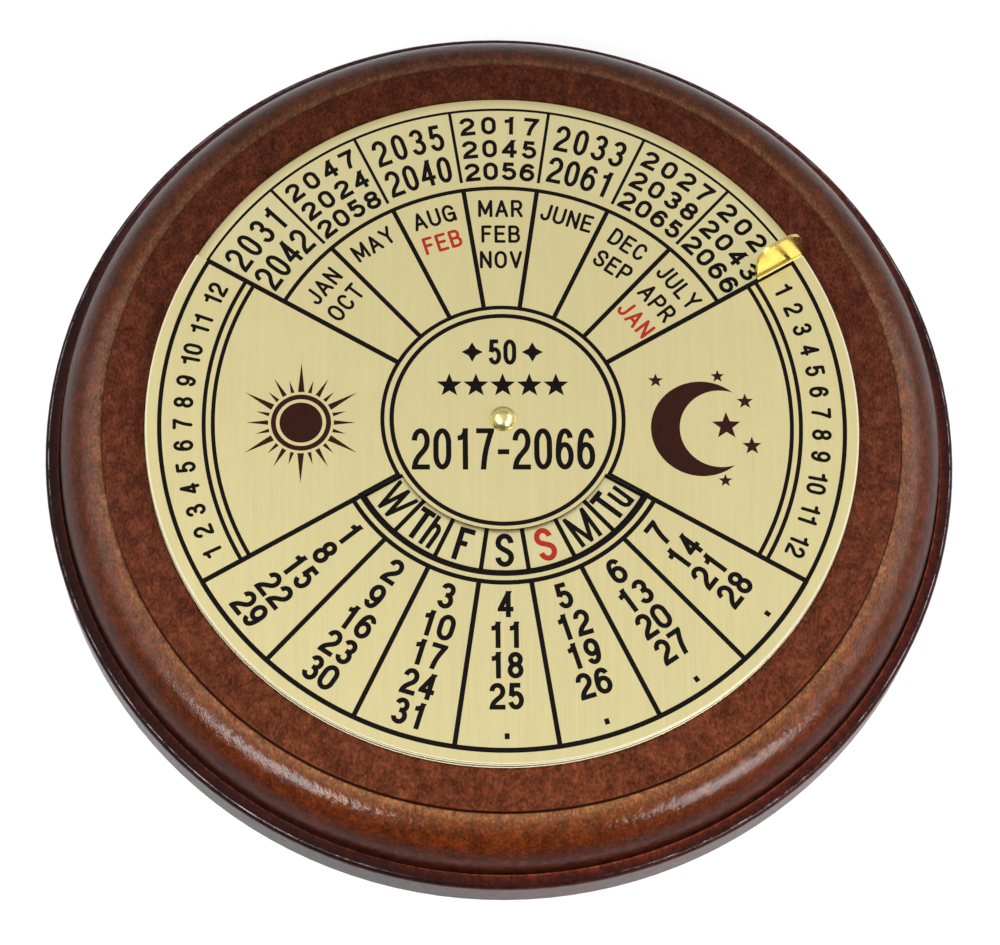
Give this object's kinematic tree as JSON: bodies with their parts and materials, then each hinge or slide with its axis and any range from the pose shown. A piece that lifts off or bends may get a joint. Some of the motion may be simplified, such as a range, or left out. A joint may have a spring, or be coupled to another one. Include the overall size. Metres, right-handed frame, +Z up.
{
  "type": "perpetual desk calendar",
  "caption": "Round desk calendar: a windowed brass month dial with a finger tab turns over a fixed brass year and weekday disc on a turned, moulded wooden plaque.",
  "frame": {"origin": "centre of the felt's underside, on the desk", "axes": "+Z up along the dial's axis, +Y towards the top of the dial (the year notch), +X to the right of the dial"},
  "size_m": [0.1296, 0.1296, 0.0239],
  "materials": {
    "stained_wood": "mahogany stain under semi-gloss lacquer",
    "felt": "felt",
    "adhesive": "clear-white double-sided film",
    "year_brass": "fine brushed, printed",
    "dial_brass": "fine brushed, printed",
    "polished_brass": "polished",
    "fibre": "red vulcanised fibre"
  },
  "bodies": {
    "base": {"wood_base": "stained_wood", "base_felt": "felt", "adhesive_sheet": "adhesive", "year_disc": "year_brass", "spacer_washer": "fibre", "centre_rivet": "polished_brass", "rivet_burr": "polished_brass"},
    "dial": {"month_dial": "dial_brass"}
  },
  "joints": [
    {"name": "dial_turn", "type": "hinge", "parent": "base", "child": "dial", "pos_m": [0, 0, 0.01735], "axis": [0, 0, 1], "continuous": true}
  ]
}
